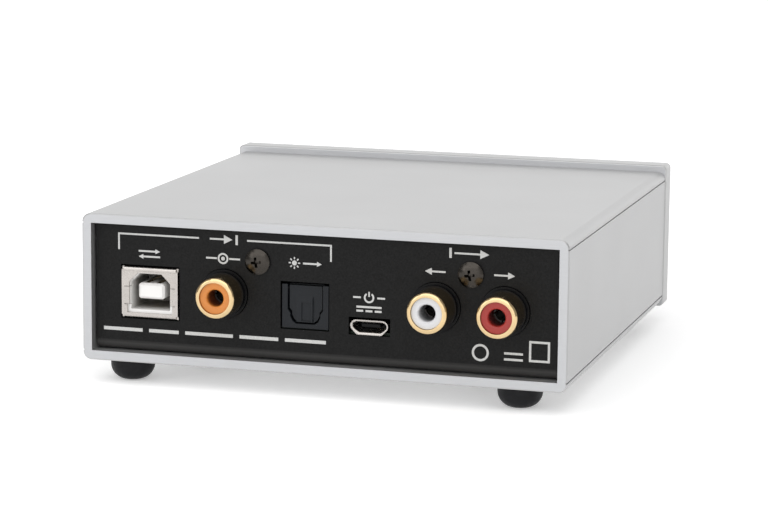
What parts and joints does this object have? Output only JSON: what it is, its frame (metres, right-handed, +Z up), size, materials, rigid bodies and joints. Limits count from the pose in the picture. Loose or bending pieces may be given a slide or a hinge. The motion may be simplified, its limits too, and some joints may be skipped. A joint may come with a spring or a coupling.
{
  "type": "desktop dac",
  "caption": "Desktop digital-to-analogue converter in a flat aluminium case, with digital inputs and phono outputs on a black rear panel, rubber feet and a front selector button.",
  "frame": {"origin": "under the middle of the whole object, on the surface that the feet stand on", "axes": "+Z up; the front panel faces -Y and the sockets on the rear panel face +Y; +X is to the right seen from the front"},
  "size_m": [0.1014, 0.1094, 0.0366],
  "materials": {
    "anodised_aluminium": "bead-blasted and clear anodised, satin; the sleeve's ends machined bright",
    "button_aluminium": "turned and anodised, satin",
    "black_powder_coat": "fine-textured black coat on sheet steel, satin",
    "blackened_steel": "black-nickel plated, semi-gloss",
    "nickel_plate": "bright nickel plate",
    "gold_plate": "polished gold plate",
    "tin_plate": "dull tin plate on spring brass",
    "usb_white_plastic": "moulded, satin",
    "orange_plastic": "moulded, smooth",
    "white_plastic": "moulded, smooth",
    "red_plastic": "moulded, smooth",
    "black_plastic": "moulded, satin",
    "shutter_plastic": "moulded, satin, blue-black",
    "receiver_plastic": "dark tinted, smooth",
    "foot_rubber": "moulded, satin",
    "board_laminate": "glass-fibre laminate under black lacquer",
    "chip_epoxy": "moulded epoxy, matte",
    "ferrite": "sintered, matte",
    "capacitor_sleeve": "shrunk film over an aluminium can",
    "capacitor_ceramic": "fired, matte",
    "led_resin": "clear cast resin",
    "clear_acrylic": "clear, polished ends"
  },
  "bodies": {
    "case": {"case_sleeve": "anodised_aluminium", "front_panel": "anodised_aluminium", "chassis": "black_powder_coat", "rear_screws": "blackened_steel", "case_screws": "blackened_steel", "front_panel_screws": "blackened_steel", "usb_b_shell": "nickel_plate", "micro_usb_shell": "nickel_plate", "board_standoffs": "nickel_plate", "board_screws": "nickel_plate", "shutter_pin": "nickel_plate", "shutter_spring": "nickel_plate", "clock_crystals": "nickel_plate", "coaxial_shell": "gold_plate", "left_shell": "gold_plate", "right_shell": "gold_plate", "usb_b_contacts": "gold_plate", "micro_usb_contacts": "gold_plate", "coaxial_contact": "tin_plate", "left_contact": "tin_plate", "right_contact": "tin_plate", "usb_b_insulator": "usb_white_plastic", "coaxial_insulator": "orange_plastic", "left_insulator": "white_plastic", "right_insulator": "red_plastic", "coaxial_housing": "black_plastic", "output_housing": "black_plastic", "micro_usb_insulator": "black_plastic", "board_link": "black_plastic", "switch_body": "black_plastic", "optical_housing": "shutter_plastic", "optical_receiver": "receiver_plastic", "rubber_feet": "foot_rubber", "main_board": "board_laminate", "front_board": "board_laminate", "dac_chip": "chip_epoxy", "usb_chip": "chip_epoxy", "receiver_chip": "chip_epoxy", "output_amplifier": "chip_epoxy", "voltage_regulator": "chip_epoxy", "chip_resistors": "chip_epoxy", "power_inductor": "ferrite", "coaxial_transformer": "ferrite", "electrolytic_capacitors": "capacitor_sleeve", "chip_capacitors": "capacitor_ceramic", "indicator_leds": "led_resin", "light_pipes": "clear_acrylic"},
    "select_button": {"select_button": "button_aluminium", "switch_plunger": "black_plastic"},
    "optical_shutter": {"optical_shutter": "shutter_plastic"}
  },
  "joints": [
    {"name": "button_press", "type": "slide", "parent": "case", "child": "select_button", "axis": [0, 1, 0], "range_m": [0, 0.0003], "stiffness_N_per_m": 5000, "springref_m": -0.0001},
    {"name": "shutter_swing", "type": "hinge", "parent": "case", "child": "optical_shutter", "pos_m": [0.00355, 0.0452, 0.02185], "axis": [-1, 0, 0], "range_deg": [0, 85], "stiffness_Nm_per_rad": 0.001, "springref_deg": -28.65}
  ]
}
